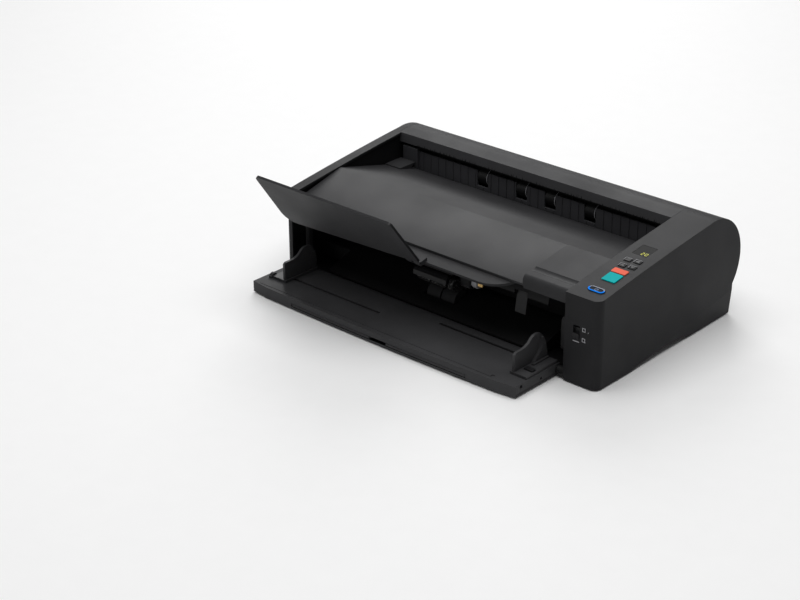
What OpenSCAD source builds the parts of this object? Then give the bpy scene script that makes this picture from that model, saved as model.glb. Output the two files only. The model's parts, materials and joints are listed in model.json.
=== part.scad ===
// Sheet fed document scanner for A3 paper: flat folding feed tray in front, U-turn path, eject tray on top.
// Millimetres. X runs to the right, Y to the rear, Z up. The front of the side covers is at front_y.

/* [Body] */
// Width over both side covers
body_w = 424; // [420:1:430]
// Depth of the side covers, front to rear
body_d = 246; // [244:1:248]
// Height of the side covers at the front, above the desk
front_h = 97; // [96:0.5:98]
// Radius of the rounded back, which holds the paper's U-turn
round_r = 52; // [51.5:0.5:52.5]
// Wall thickness of the moulded covers
wall = 2.5; // [2:0.1:2.8]
// Width of the right side cover, which carries the control panel
right_cap_w = 41; // [40.5:0.5:41.5]

/* [Eject tray] */
// Slope of the eject tray's front, degrees
eject_slope = 13.8; // [13.5:0.1:14.2]
// Lean of the raised flap, degrees from the rearward horizontal
flap_angle = 125.4; // [124:0.2:127]
// Length of the flap along its slope
flap_len = 75; // [70:1:78]

/* [Feed tray] */
// Thickness of the feed tray
tray_t = 12; // [11.6:0.2:12]
// Depth of the feed tray in front of its hinge, at the middle
tray_reach = 72.5; // [70:0.5:73]
// How far the tray's front edge bows forward between its corners
tray_bow = 3.5; // [2:0.5:4]
// Travel of each document guide
guide_travel = 125; // [100:1:126]

/* [Rollers] */
// Radius of the registration and transport rollers
drive_r = 10.2; // [9.8:0.1:10.3]
// Radius of the feed and separation rollers
feed_r = 11; // [10:0.5:11]
// Teeth of the pinion that links the document guides
pinion_teeth = 16; // [16:2:20]

/* [Hidden] */

cover_black = [0.16, 0.16, 0.17];
inner_black = [0.09, 0.09, 0.10];
steel = [0.62, 0.63, 0.65];
rubber_grey = [0.30, 0.30, 0.31];
board_green = [0.10, 0.32, 0.20];

// Outline of the sides
left_x = -body_w / 2;
right_x = body_w / 2;
front_y = -body_d / 2;
rear_y = body_d / 2;
foot_h = 1.5;
inner_left_x = left_x + 9;
strip_left_x = left_x + 12;
inner_right_x = right_x - right_cap_w;
round_y = rear_y - round_r;
round_z = 68;
ridge_y = round_y - 5;
rear_wall_y = rear_y - 11;
bar_front_y = 52;
seam_gap = 0.4;
fine = 96;

// Height of the side covers' crowned top at y
function top_z(y) = front_h + 0.1445 * (y - front_y) - 0.000132 * pow(y - front_y, 2);
// Slope of that top at y, degrees
function top_tilt(y) = atan(0.1445 - 0.000264 * (y - front_y));

// Paper path
path_x = -16;
lower_z = 28.5;
upper_z = 31;
nip_z = 29.5;
turn_y = round_y;
turn_z = 65;
turn_r = 34;
eject_x = [-82, -27, 12.6, 66];
reg_y = -44;
transport_y = 32;
eject_y = 64;
eject_z = 92.5;
eject_r = 9.3;
eject_pinch_z = 106.3;
separation_y = -80;
pickup_y = -100;
pickup_z = 46;
feed_z = 41;
roller_x = [-104, -16, 72];
roller_w = 34;
roller_shaft_r = 4;
gear_module = 1;
motor_teeth = 26;
eject_teeth = 35;
gear_reach = (motor_teeth + eject_teeth) * gear_module / 2;
motor_y = 71;
motor_z = eject_z - sqrt(pow(gear_reach, 2) - pow(motor_y - eject_y, 2));
gear_line = atan2(eject_z - motor_z, eject_y - motor_y);
motor_r = 12.3;
pulley_x = 180;
pulley_w = 5.5;
gear_x = 187;
gear_w = 2.6;

// Upper unit and its hinge
unit_left_x = strip_left_x + 0.5;
unit_right_x = inner_right_x - 0.6;
unit_hinge_y = 47;
unit_hinge_z = 84;
unit_pin_r = 2;
eject_lip_y = -136;
eject_lip_z = 81.5;
plate_t = 3;
floor_gap = 3;
floor_front_y = -121.5;
crest_y = -50;
shoulder_x = 118;
floor_t = 2.3;
// Top of the sliding plate and of the eject floor above it at y
function plate_z(y) = eject_lip_z + tan(eject_slope) * (y - eject_lip_y);
function floor_z(y) = y < crest_y ? plate_z(y) + floor_gap : plate_z(crest_y) + floor_gap - 0.25 * (y - crest_y);

// Flap: its front face passes through flap_y, flap_z
flap_y = -147;
flap_z = 79;
flap_t = 2.8;
flap_axis_depth = 5;
knuckle_r = 1.9;
flap_pin_r = 0.9;
flap_axis_y = flap_y + flap_axis_depth * sin(flap_angle);
flap_axis_z = flap_z - flap_axis_depth * cos(flap_angle);
flap_knuckle_x = [-176, -100, -14];
knuckle_w = 8;

// Feed tray and its hinge
tray_hinge_y = -117.5;
tray_hinge_z = 7;
tray_pin_r = 2.5;
tray_left_x = inner_left_x + 0.6;
tray_right_x = 161;
tray_mid_x = (tray_left_x + tray_right_x) / 2;
tray_top_z = foot_h + tray_t;
tray_skin = 2;
function tray_front(x) = tray_hinge_y - tray_reach + tray_bow * pow((x - tray_mid_x) / (tray_right_x - tray_mid_x), 2);

// Document guides
fin_right_x = 141;
fin_t = 3;
guide_stem_w = 8;
pinion_y = -140;
module_mm = 1;
pinion_r = pinion_teeth * module_mm / 2;
rack_z = 8.4;
rack_t = 2.8;
backlash = 0.2;

// The origin is under the middle of the whole object, at the height of the desk
flap_top_y = flap_y + flap_len * cos(flap_angle);
origin_y = (rear_y + min(flap_top_y, tray_front(tray_mid_x))) / 2;

module placed(shade) {
    color(shade) translate([0, -origin_y, 0]) children();
}

// A side view outline (Y, Z) drawn out along X from x0 to x1
module along_x(x0, x1) {
    translate([x0, 0, 0]) rotate([90, 0, 90]) linear_extrude(x1 - x0) children();
}

// A round bar along X
module bar_x(x0, x1, y, z, r) {
    translate([x0, y, z]) rotate([0, 90, 0]) cylinder(h = x1 - x0, r = r, $fn = 48);
}

module block(x0, x1, y0, y1, z0, z1) {
    translate([x0, y0, z0]) cube([x1 - x0, y1 - y0, z1 - z0]);
}

// The covers' side view, drawn in by t on every side
module side_outline(t = 0) {
    steps = 12;
    translate([round_y, round_z]) circle(r = round_r - t, $fn = fine);
    polygon(concat(
        [[rear_wall_y - t, foot_h + t], [rear_wall_y - t, round_z]],
        [for (i = [0:steps]) let (y = ridge_y + (front_y + t - ridge_y) * i / steps) [y, top_z(y) - t]],
        [[front_y + t, foot_h + t]]
    ));
}

// Plan outline of the body with rounded front corners of radius r, drawn in by t
module plan_outline(r, t = 0) {
    translate([left_x + r, front_y + r]) circle(r = r - t, $fn = fine);
    translate([right_x - r, front_y + r]) circle(r = r - t, $fn = fine);
    translate([left_x + r, front_y + t]) square([body_w - 2 * r, body_d]);
    translate([left_x + t, front_y + r]) square([body_w - 2 * t, body_d]);
}

// The shallow arch in the bottom edge of a side cover, made larger by t
module side_arch(x0, x1, t = 0) {
    arch_rise = 4.4;
    arch_half = 55;
    arch_r = (pow(arch_half, 2) + pow(arch_rise, 2)) / (2 * arch_rise);
    translate([x0, -12, foot_h + arch_rise - arch_r]) rotate([0, 90, 0]) cylinder(h = x1 - x0, r = arch_r + t, $fn = 360);
}

// The wedge cut from the low rear part of an outer side, t further in; s = 1 on the right and -1 on the left
module low_facet(s, t = 0) {
    translate([s * (right_x - t), 47, 19.5]) rotate([8.8, 0, 0]) rotate([0, s * 4.5, 0])
        translate([s > 0 ? 0 : -50, -120, -60]) cube([50, 260, 60]);
}

// Stands its children on the control panel at x, y, with Z along the panel's normal
module on_top(x, y) {
    translate([x, y, top_z(y)]) rotate([top_tilt(y), 0, 0]) children();
}

// A rounded rectangle, w wide and d deep about its middle
module round_rect(w, d, r) {
    for (x = [-1, 1], y = [-1, 1]) translate([x * (w / 2 - r), y * (d / 2 - r)]) circle(r = r, $fn = 32);
    square([w - 2 * r, d], center = true);
    square([w, d - 2 * r], center = true);
}

function involute(r, base_r) = sqrt(pow(r / base_r, 2) - 1) * 180 / PI - acos(base_r / r);

// A gear with involute flanks of 20 degrees; the gap between two teeth lies on its X axis
module gear_outline(teeth, mod) {
    pitch_r = teeth * mod / 2;
    base_r = pitch_r * cos(20);
    root_r = pitch_r - 1.25 * mod;
    tip_r = pitch_r + 0.9 * mod;
    half_tooth = 90 / teeth - backlash / 2 / pitch_r * 180 / PI;
    function flank(r) = half_tooth + involute(pitch_r, base_r) - involute(max(r, base_r), base_r);
    radii = [root_r, max(root_r, base_r) + 0.02, pitch_r, (pitch_r + tip_r) / 2, tip_r];
    polygon([for (k = [0:teeth - 1]) let (mid = (k + 0.5) * 360 / teeth)
        for (p = concat(
            [for (r = radii) [r, -flank(r)]],
            [for (i = [4:-1:0]) [radii[i], flank(radii[i])]]
        )) [p[0] * cos(mid + p[1]), p[0] * sin(mid + p[1])]]);
}

// Control panel: [x, y, width, depth, corner radius] of each button
power_spot = [194.2, -105, 19, 8.4, 4.15];
start_spot = [193.6, -79, 16, 15.6, 1.2];
stop_spot = [193, -65.8, 17, 8, 1.2];
option_spots = [[187.6, -54.4, 8.4, 6.4, 1], [198.6, -53, 8.4, 6.4, 1], [185.8, -42.6, 8.4, 6.4, 1], [196.8, -41.2, 8.4, 6.4, 1]];
display_spot = [189.6, -20, 18, 20, 1];
button_gap = 0.25;
button_travel = 1.2;

module spot_hole(s, gap) {
    on_top(s[0], s[1]) translate([0, 0, -6]) linear_extrude(9) round_rect(s[2] + 2 * gap, s[3] + 2 * gap, s[4] + gap);
}

// A key cap with side wings that hold it under the cover, and a stem over its switch
module key_cap(s, proud) {
    on_top(s[0], s[1]) {
        translate([0, 0, -3.2]) linear_extrude(3.2 + proud) round_rect(s[2], s[3], s[4]);
        translate([-s[2] / 2 - 0.9, -s[3] / 4, -4.2]) cube([s[2] + 1.8, s[3] / 2, 1]);
        translate([0, 0, -6.6]) cylinder(h = 3, r = 1.6, $fn = 32);
    }
}

// ---- Body: covers ----

screw_x = [-170, -62, 62, 160];

module base_pan() placed(inner_black) {
    difference() {
        union() {
            block(inner_left_x + 0.4, inner_right_x - 0.4, -110, rear_wall_y - 3, 3, 5.5);
            block(inner_left_x + 0.4, inner_left_x + 2.4, -72.5, rear_wall_y - 3, 5.5, 12);
            block(inner_right_x - 2.4, inner_right_x - 0.4, -72.5, rear_wall_y - 3, 5.5, 12);
            for (x = [-160, -60, 30, 128]) block(x, x + 2, -76, 100, 5.5, 8);
            for (x = screw_x) block(x - 4, x + 4, 102, rear_wall_y - 3, 5, 11.5);
        }
        for (x = screw_x) translate([x, 90, 8]) rotate([-90, 0, 0]) cylinder(h = 30, r = 1.45, $fn = 32);
        for (x = [-120:20:100]) block(x, x + 10, 60, 96, 2, 6);
    }
}

module rubber_feet() placed(rubber_grey) {
    for (x = [-186, 152], y = [-98, 94]) translate([x, y, 0]) {
        cylinder(h = 3, r = 8, $fn = 64);
    }
}

module left_side_cover() placed(cover_black) {
    difference() {
        intersection() {
            union() {
                along_x(left_x, inner_left_x) side_outline();
                along_x(inner_left_x - 1, strip_left_x) difference() {
                    side_outline();
                    side_outline(wall);
                    translate([bar_front_y - seam_gap, -1]) square([200, 200]);
                    translate([front_y - 1, -1]) square([200, front_h - 4]);
                }
            }
            linear_extrude(130) plan_outline(6);
        }
        difference() {
            intersection() {
                along_x(left_x + wall, inner_left_x + 0.1) side_outline(wall);
                linear_extrude(130) plan_outline(6, wall);
            }
            side_arch(left_x, inner_left_x + 2, wall);
            low_facet(-1, wall);
        }
        side_arch(left_x - 1, inner_left_x + 1);
        low_facet(-1);
    }
}

module right_side_cover() placed(cover_black) {
    difference() {
        intersection() {
            along_x(inner_right_x, right_x) side_outline();
            linear_extrude(130) plan_outline(9);
        }
        difference() {
            intersection() {
                along_x(inner_right_x - 0.1, right_x - wall) side_outline(wall);
                linear_extrude(130) plan_outline(9, wall);
            }
            side_arch(inner_right_x - 2, right_x, wall);
            low_facet(1, wall);
        }
        side_arch(inner_right_x - 1, right_x + 1);
        low_facet(1);
        for (s = concat([power_spot, start_spot, stop_spot], option_spots)) spot_hole(s, button_gap);
        spot_hole(display_spot, 0.1);
        block(181.4, 189.6, front_y - 1, front_y + 4, 51.4, 65.2);
    }
}

module left_inner_cover() placed(inner_black) {
    difference() {
        along_x(inner_left_x - 2, inner_left_x) side_outline(wall + 0.3);
        bar_x(inner_left_x - 3, inner_left_x + 1, unit_hinge_y, unit_hinge_z, unit_pin_r);
        bar_x(inner_left_x - 3, inner_left_x + 1, tray_hinge_y, tray_hinge_z, tray_pin_r);
        side_arch(inner_left_x - 3, inner_left_x + 1, wall + 0.3);
        for (y = [reg_y, transport_y]) bar_x(inner_left_x - 3, inner_left_x + 1, y, nip_z - drive_r, 7);
        bar_x(inner_left_x - 3, inner_left_x + 1, eject_y, eject_z, 6);
    }
}

// The rounded ridge beside the throat, and the boss that carries the tray's hinge pin
module ridge_outline() {
    for (z = [36, 63]) translate([-117.2, z]) circle(r = 4.6, $fn = 48);
    translate([-121.8, 36]) square([9.2, 27]);
}

module right_inner_cover() placed(inner_black) {
    difference() {
        union() {
            along_x(inner_right_x, inner_right_x + 2) side_outline(wall + 0.3);
            bar_x(tray_right_x + 0.4, inner_right_x, tray_hinge_y, tray_hinge_z, 5);
            along_x(inner_right_x - 4.8, inner_right_x) ridge_outline();
            along_x(inner_right_x - 1, inner_right_x + 1) intersection() {
                side_outline(wall + 0.3);
                union() {
                    ridge_outline();
                    translate([tray_hinge_y, tray_hinge_z]) circle(r = 4.8, $fn = 48);
                }
            }
        }
        bar_x(inner_right_x - 12, inner_right_x + 3, tray_hinge_y, tray_hinge_z, tray_pin_r);
        bar_x(inner_right_x - 3, inner_right_x + 3, unit_hinge_y, unit_hinge_z, unit_pin_r);
        side_arch(inner_right_x - 1, inner_right_x + 3, wall + 0.3);
        for (y = [reg_y, transport_y]) bar_x(inner_right_x - 1, inner_right_x + 3, y, nip_z - drive_r, 5);
        bar_x(inner_right_x - 1, inner_right_x + 3, eject_y, eject_z, 5);
        bar_x(inner_right_x - 1, inner_right_x + 3, motor_y, motor_z, motor_r + 1.5);
    }
}

// A pressed steel side frame, bored for the roller shafts' bushes
module frame_plate(x0) {
    difference() {
        along_x(x0, x0 + 1.5) intersection() {
            side_outline(6);
            translate([-100, 9]) square([210, 101]);
        }
        for (y = [reg_y, transport_y]) bar_x(x0 - 1, x0 + 3, y, nip_z - drive_r, 6.5);
        bar_x(x0 - 1, x0 + 3, eject_y, eject_z, 5.5);
        bar_x(x0 - 1, x0 + 3, -20, 66, 14);
        bar_x(x0 - 1, x0 + 3, 14, 66, 9);
        children();
    }
}

left_plate_x = inner_left_x - 4;
right_plate_x = inner_right_x + 4;

module left_frame_plate() placed(steel) {
    frame_plate(left_plate_x);
}

module right_frame_plate() placed(steel) {
    frame_plate(right_plate_x) bar_x(right_plate_x - 1, right_plate_x + 3, motor_y, motor_z, 4);
}

cover_x0 = inner_left_x + 0.2;
cover_x1 = inner_right_x - 0.2;
bar_seam_z = 98;
round_seam_z = 36;

module rear_bar_cover() placed(cover_black) {
    along_x(cover_x0, cover_x1) {
        intersection() {
            difference() {
                side_outline();
                side_outline(wall);
            }
            translate([bar_front_y, bar_seam_z + seam_gap]) square([100, 40]);
        }
        translate([bar_front_y, 107]) square([wall, top_z(bar_front_y) - 108]);
    }
    for (x = [-106, -58, 38, 90]) difference() {
        along_x(x, x + 2.4) polygon([[bar_front_y + 1, 110], [56, 110], [61, 104], [68, 104], [74, 118.4], [55, 117]]);
        bar_x(x - 1, x + 4, eject_y, eject_pinch_z, 1.56);
    }
}

module rear_round_cover() placed(cover_black) {
    along_x(cover_x0, cover_x1) intersection() {
        difference() {
            side_outline();
            side_outline(wall);
        }
        translate([round_y, round_seam_z]) square([100, bar_seam_z - round_seam_z]);
    }
    for (i = [0:6]) along_x(-186 + i * 56, -184 + i * 56) intersection() {
        difference() {
            translate([round_y, round_z]) circle(r = round_r - 1, $fn = fine);
            translate([turn_y, turn_z]) circle(r = turn_r + 4.5, $fn = fine);
        }
        translate([round_y + 8, round_seam_z + 4]) square([100, bar_seam_z - round_seam_z - 8]);
    }
}

dc_x = 146;
usb_x = 118;
port_z = 18;

module rear_lower_cover() placed(cover_black) {
    difference() {
        along_x(cover_x0, cover_x1) translate([rear_wall_y - wall, foot_h + 0.5]) square([wall, round_seam_z - foot_h - 0.9]);
        block(dc_x - 6.5, dc_x + 6.5, 100, 120, port_z - 6, port_z + 6);
        block(usb_x - 6.5, usb_x + 6.5, 100, 120, port_z - 5.5, port_z + 6);
        translate([-180, 100, port_z]) rotate([-90, 0, 0]) linear_extrude(20) round_rect(7, 3, 1.4);
        for (x = screw_x) translate([x, 100, 8]) rotate([-90, 0, 0]) cylinder(h = 20, r = 1.5, $fn = 32);
        for (i = [0:9]) block(-30 + i * 9, -26 + i * 9, 100, 120, 12, 26);
    }
}

panel_y = 55.5;

module rear_guide_panel() placed(inner_black) {
    difference() {
        union() {
            block(-197, 166, panel_y, panel_y + 2.5, 58, 100);
            block(-198, -176, 52.4, panel_y + 1, 58, 103);
            for (x = [-170:11:162]) block(x, x + 1.2, panel_y - 0.9, panel_y + 1, 62, 100);
        }
        for (x = eject_x) block(x - 7.6, x + 7.6, 50, 60, 82, 101);
    }
}

module antistatic_brush() placed(inner_black) {
    block(-177, 162, bar_front_y + wall, bar_front_y + wall + 1.2, 106.3, 109.8);
    for (i = [0:56]) block(-176 + i * 6, -171.5 + i * 6, 53, 55.4, 102.2 + 1.3 * (i % 3), 106.6);
}

module turn_drum() placed(inner_black) {
    difference() {
        along_x(-196, 138) intersection() {
            difference() {
                translate([turn_y, turn_z]) circle(r = turn_r, $fn = fine);
                translate([turn_y, turn_z]) circle(r = turn_r - wall, $fn = fine);
            }
            translate([59, 0]) square([100, 130]);
        }
        for (x = eject_x) block(x - 8, x + 8, 50, 82, 80, 110);
        bar_x(-200, 170, eject_y, eject_z, 4);
    }
}

// ---- Body: paper path and drive ----

module roller_windows(y, half_y, z0, z1) {
    for (x = roller_x) block(x - roller_w / 2 - 1, x + roller_w / 2 + 1, y - half_y, y + half_y, z0, z1);
}

module lower_guide() placed(inner_black) {
    difference() {
        union() {
            along_x(-162, 130) polygon([[-110, 10.5], [-110, 13], [-62, lower_z], [48, lower_z], [48, 26], [-61, 26]]);
            along_x(inner_left_x + 0.6, -161) polygon([[-75, 8], [-75, 25], [-62, lower_z], [48, lower_z], [48, 26], [-61, 26], [-73, 23], [-73, 8]]);
            along_x(129, inner_right_x - 0.6) polygon([[-75, 8], [-75, 25], [-62, lower_z], [48, lower_z], [48, 26], [-61, 26], [-73, 23], [-73, 8]]);
            for (x = [-162, 128]) along_x(x, x + 2) polygon([[-110, 8.4], [-110, 12], [-75, 23.4], [-75, 8.4]]);
            for (x = [-60, 28]) along_x(x, x + 3) polygon([[-92, 10], [-92, 16.5], [-66, 25], [-66, 10]]);
            for (i = [0:11]) along_x(-150 + i * 25, -148.8 + i * 25) polygon([[-60, 26], [-56, lower_z + 0.5], [-24, lower_z + 0.5], [-24, 26]]);
        }
        roller_windows(reg_y, 12, 20, 40);
        roller_windows(transport_y, 12, 20, 40);
        block(path_x - 22, path_x + 22, separation_y - 13, separation_y + 13, 8.5, 40);
        block(-184, 154, -20, 10, 20, 40);
        bar_x(-61, 32, separation_y, nip_z - feed_r - 0.2, 3.06);
    }
}

module lower_scan_unit() placed(inner_black) {
    difference() {
        block(-183, 153, -19, 9, 9, lower_z - 0.6);
        block(-175, 145, -15, 5, lower_z - 2, lower_z + 1);
        block(-170, 140, -8, -2, 13, lower_z);
    }
}

module lower_scan_glass() placed([0.5, 0.62, 0.62]) {
    block(-174.8, 144.8, -14.8, 4.8, lower_z - 2, lower_z + 0.2);
}

module main_motor() placed(steel) {
    difference() {
        union() {
            bar_x(142, right_plate_x - 1.6, motor_y, motor_z, motor_r);
            bar_x(right_plate_x - 1.6, right_plate_x, motor_y, motor_z, motor_r + 0.5);
        }
        bar_x(160, right_plate_x + 1, motor_y, motor_z, 2.06);
    }
}

belt_stops = [[reg_y, nip_z - drive_r, 9], [transport_y, nip_z - drive_r, 9], [motor_y, motor_z, 6]];

module belt_loop(extra) {
    hull() for (p = belt_stops) translate([p[0], p[1]]) circle(r = p[2] + extra, $fn = 40);
}

module drive_belt() placed(rubber_grey) {
    along_x(pulley_x + 0.6, pulley_x + pulley_w - 0.9) difference() {
        belt_loop(1.6);
        belt_loop(0.25);
    }
}

// A flanged pulley on the end of a shaft
module pulley(y, z, r) {
    bar_x(pulley_x, pulley_x + pulley_w, y, z, r);
    bar_x(pulley_x - 0.8, pulley_x, y, z, r + 2.4);
    bar_x(pulley_x + pulley_w, pulley_x + pulley_w + 0.8, y, z, r + 2.4);
}

module motor_pulley() placed(steel) {
    bar_x(162, gear_x + gear_w, motor_y, motor_z, 2);
    pulley(motor_y, motor_z, 6);
    along_x(gear_x, gear_x + gear_w) translate([motor_y, motor_z])
        rotate(gear_line + 180 / motor_teeth) gear_outline(motor_teeth, gear_module);
}

module registration_roller() placed(rubber_grey) {
    bar_x(left_plate_x - 1, pulley_x + 1, reg_y, nip_z - drive_r, roller_shaft_r);
    for (x = roller_x) bar_x(x - roller_w / 2, x + roller_w / 2, reg_y, nip_z - drive_r, drive_r);
    pulley(reg_y, nip_z - drive_r, 9);
}

module transport_roller() placed(rubber_grey) {
    bar_x(left_plate_x - 1, pulley_x + 1, transport_y, nip_z - drive_r, roller_shaft_r);
    for (x = roller_x) bar_x(x - roller_w / 2, x + roller_w / 2, transport_y, nip_z - drive_r, drive_r);
    pulley(transport_y, nip_z - drive_r, 9);
}

module eject_roller() placed(rubber_grey) {
    bar_x(left_plate_x - 1, gear_x + gear_w, eject_y, eject_z, 3);
    for (x = eject_x) bar_x(x - 6.5, x + 6.5, eject_y, eject_z, eject_r);
    along_x(gear_x, gear_x + gear_w) translate([eject_y, eject_z])
        rotate(gear_line + 180) gear_outline(eject_teeth, gear_module);
}

module eject_pinch_rollers() placed([0.75, 0.75, 0.73]) {
    bar_x(-112, 98, eject_y, eject_pinch_z, 1.5);
    for (x = eject_x) bar_x(x - 5.5, x + 5.5, eject_y, eject_pinch_z, 4.1);
}

module separation_roller() placed(rubber_grey) {
    bar_x(-61, 32, separation_y, nip_z - feed_r - 0.2, 3);
    for (x = [-19, 1]) bar_x(path_x + x, path_x + x + 18, separation_y, nip_z - feed_r - 0.2, feed_r);
}

module shaft_bushes() placed([0.72, 0.6, 0.35]) {
    for (x = [left_plate_x, right_plate_x]) {
        for (y = [reg_y, transport_y]) difference() {
            bar_x(x - 0.8, x + 2.3, y, nip_z - drive_r, 6.5);
            bar_x(x - 2, x + 4, y, nip_z - drive_r, roller_shaft_r + 0.05);
        }
        difference() {
            bar_x(x - 0.8, x + 2.3, eject_y, eject_z, 5.5);
            bar_x(x - 2, x + 4, eject_y, eject_z, 3.05);
        }
    }
}

module control_board() placed(board_green) {
    block(197, 198.6, -70, 60, 12, 82);
    block(192, 197, -50, -30, 40, 60);
    block(193.5, 197, -10, 10, 30, 50);
    block(190, 197, 30, 52, 20, 36);
    for (i = [0:3]) block(193, 197, -60 + i * 14, -52 + i * 14, 68, 74);
}

module panel_board() placed(board_green) {
    on_top(191.5, -60) translate([-14, -56, -10]) cube([28, 100, 1.6]);
}

module dc_inlet() placed(inner_black) {
    difference() {
        block(dc_x - 6.3, dc_x + 6.3, 98, 111.4, port_z - 5.8, port_z + 5.8);
        translate([dc_x, 102, port_z]) rotate([-90, 0, 0]) cylinder(h = 12, r = 3.2, $fn = 48);
    }
}

module usb_port() placed(steel) {
    difference() {
        block(usb_x - 6, usb_x + 6, 96, 111.6, port_z - 5, port_z + 5.5);
        block(usb_x - 4.3, usb_x + 4.3, 101, 113, port_z - 3.8, port_z + 4.3);
    }
}

module display_window() placed([0.03, 0.03, 0.03]) {
    on_top(display_spot[0], display_spot[1]) translate([0, 0, -2.2]) linear_extrude(2) round_rect(display_spot[2], display_spot[3], 1);
}

module cover_screws() placed(steel) {
    for (x = screw_x) translate([x, 0, 8]) rotate([-90, 0, 0]) {
        translate([0, 0, rear_wall_y - 6]) cylinder(h = 6.4, r = 1.4, $fn = 32);
        translate([0, 0, rear_wall_y + 0.1]) difference() {
            cylinder(h = 1.5, r = 2.9, $fn = 48);
            for (a = [0, 90]) rotate([0, 0, a]) translate([-1.9, -0.35, 0.7]) cube([3.8, 0.7, 2]);
        }
    }
}

module hinge_pins() placed(steel) {
    bar_x(inner_left_x - 2, unit_left_x + 12, unit_hinge_y, unit_hinge_z, unit_pin_r);
    bar_x(unit_right_x - 12, inner_right_x + 2, unit_hinge_y, unit_hinge_z, unit_pin_r);
    bar_x(inner_left_x - 2, tray_left_x + 6, tray_hinge_y, tray_hinge_z, tray_pin_r);
    bar_x(tray_right_x - 6, inner_right_x + 2, tray_hinge_y, tray_hinge_z, tray_pin_r);
}

// ---- Control panel and lever ----

module power_button() placed([0.05, 0.12, 0.35]) {
    key_cap(power_spot, 0.5);
}

module start_button() placed([0.05, 0.62, 0.58]) {
    key_cap(start_spot, 0.9);
}

module stop_button() placed([0.88, 0.35, 0.29]) {
    key_cap(stop_spot, 0.9);
}

module option_button_1() placed(cover_black) {
    key_cap(option_spots[0], 0.6);
}

module option_button_2() placed(cover_black) {
    key_cap(option_spots[1], 0.6);
}

module option_button_3() placed(cover_black) {
    key_cap(option_spots[2], 0.6);
}

module option_button_4() placed(cover_black) {
    key_cap(option_spots[3], 0.6);
}

module mode_lever() placed(cover_black) {
    block(181.9, 189.1, front_y - 1.3, front_y + 3.5, 51.9, 57);
    block(178.5, 192.5, front_y + wall + 0.4, front_y + wall + 1.9, 46, 62);
}

// ---- Upper unit ----

// Side view of the eject floor between x ranges: from y0 to the rear edge
module floor_strip(y0) {
    polygon([
        [y0, floor_z(y0)], [crest_y, floor_z(crest_y)], [50, floor_z(50)],
        [50, floor_z(50) - floor_t], [crest_y, floor_z(crest_y) - floor_t], [y0, floor_z(y0) - floor_t]
    ]);
}

shoulder_drop = 0.6;
shoulder_nose_r = 6;
shoulder_nose_y = floor_front_y + shoulder_nose_r;
function shoulder_z(y) = top_z(y) - shoulder_drop;

module shoulder_outline(t = 0) {
    nose_z = shoulder_z(shoulder_nose_y) - shoulder_nose_r;
    translate([shoulder_nose_y, nose_z]) circle(r = shoulder_nose_r - t, $fn = fine);
    polygon(concat(
        [[floor_front_y + t, nose_z], [floor_front_y + t, 83.5 - t]],
        [[crest_y, 83.5 - t]],
        [for (i = [0:5]) let (y = crest_y + (shoulder_nose_y - crest_y) * i / 5) [y, shoulder_z(y) - t]]
    ));
}

module eject_tray_cover() placed(cover_black) {
    difference() {
        union() {
            along_x(unit_left_x, unit_right_x) floor_strip(crest_y);
            along_x(unit_left_x, shoulder_x + 1) floor_strip(floor_front_y);
            along_x(shoulder_x, unit_right_x) intersection() {
                difference() {
                    shoulder_outline();
                    shoulder_outline(2.3);
                }
                translate([-130, 80]) square([-crest_y + 30.2, 40]);
            }
            along_x(shoulder_x - 1.2, shoulder_x + 1.2) intersection() {
                shoulder_outline();
                polygon([[floor_front_y, floor_z(floor_front_y) - 1], [crest_y, floor_z(crest_y) - 1], [crest_y, 120], [floor_front_y, 120]]);
            }
            for (x = [[unit_left_x, unit_left_x + 22.5], [unit_right_x - 20, unit_right_x]])
                along_x(x[0], x[1]) polygon([[24, floor_z(24) - 1], [24, 88.5], [50, 88.5], [50, 79], [40, 79]]);
        }
        for (x = [unit_left_x - 1, unit_right_x - 21]) bar_x(x, x + 24, unit_hinge_y, unit_hinge_z, unit_pin_r + 0.06);
        bar_x(shoulder_x - 2, unit_right_x + 1, -105.5, shoulder_z(-105.5) + 5.7, 7);
    }
}

module throat_strip() {
    polygon([[-58, upper_z], [-60, upper_z], [-73, 58], [-112, 80.4], [-112, 82.6], [-110, 82.6], [-71.5, 60], [-58, 33]]);
}

// The inner webs stand between the pinch rollers
web_x = [-70, 50];

module upper_frame() placed(inner_black) {
    difference() {
        union() {
            along_x(unit_left_x + 0.2, unit_right_x - 0.2) {
                throat_strip();
                translate([-60, upper_z]) square([104, 2]);
            }
            for (x = [unit_left_x + 0.2, web_x[0], web_x[1], unit_right_x - 2.2]) along_x(x, x + 2)
                polygon([[-59, upper_z], [44, upper_z], [46, 76], [crest_y, 90], [-74, 85], [-109, 81], [-73, 59]]);
            for (i = [0:14]) if (abs(i - 7) > 1) along_x(-180 + i * 24, -178.4 + i * 24) polygon([[-62, 36], [-75, 57.4], [-110, 78], [-110, 81], [-72, 59]]);
            for (x = [-44, 14]) along_x(x, x + 3) polygon([[-68, 50], [-73, 58], [-94, 70.2], [-88, 38], [-72, 38]]);
        }
        roller_windows(reg_y, 10, 30, 34);
        roller_windows(transport_y, 10, 30, 34);
        block(-183.5, 153.5, -8.5, 20.5, 30, 36);
        for (x = web_x) block(x - 2, x + 4, -12, 24, 30, 60);
        for (x = [unit_left_x, web_x[0], web_x[1], unit_right_x - 3], y = [reg_y, transport_y]) bar_x(x - 1, x + 4, y, nip_z + 8.3, 3.06);
        bar_x(-200, 171, separation_y, feed_z, 3.06);
        block(95, 111.5, -106, -90, 60, 84);
        bar_x(unit_left_x, unit_right_x, -93, 80, 2.56);
    }
}

module upper_scan_unit() placed(inner_black) {
    block(-183, 153, -8, 20, upper_z + 0.6, 48);
    block(-175, 145, -4, 16, upper_z - 0.2, upper_z + 0.6);
}

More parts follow.
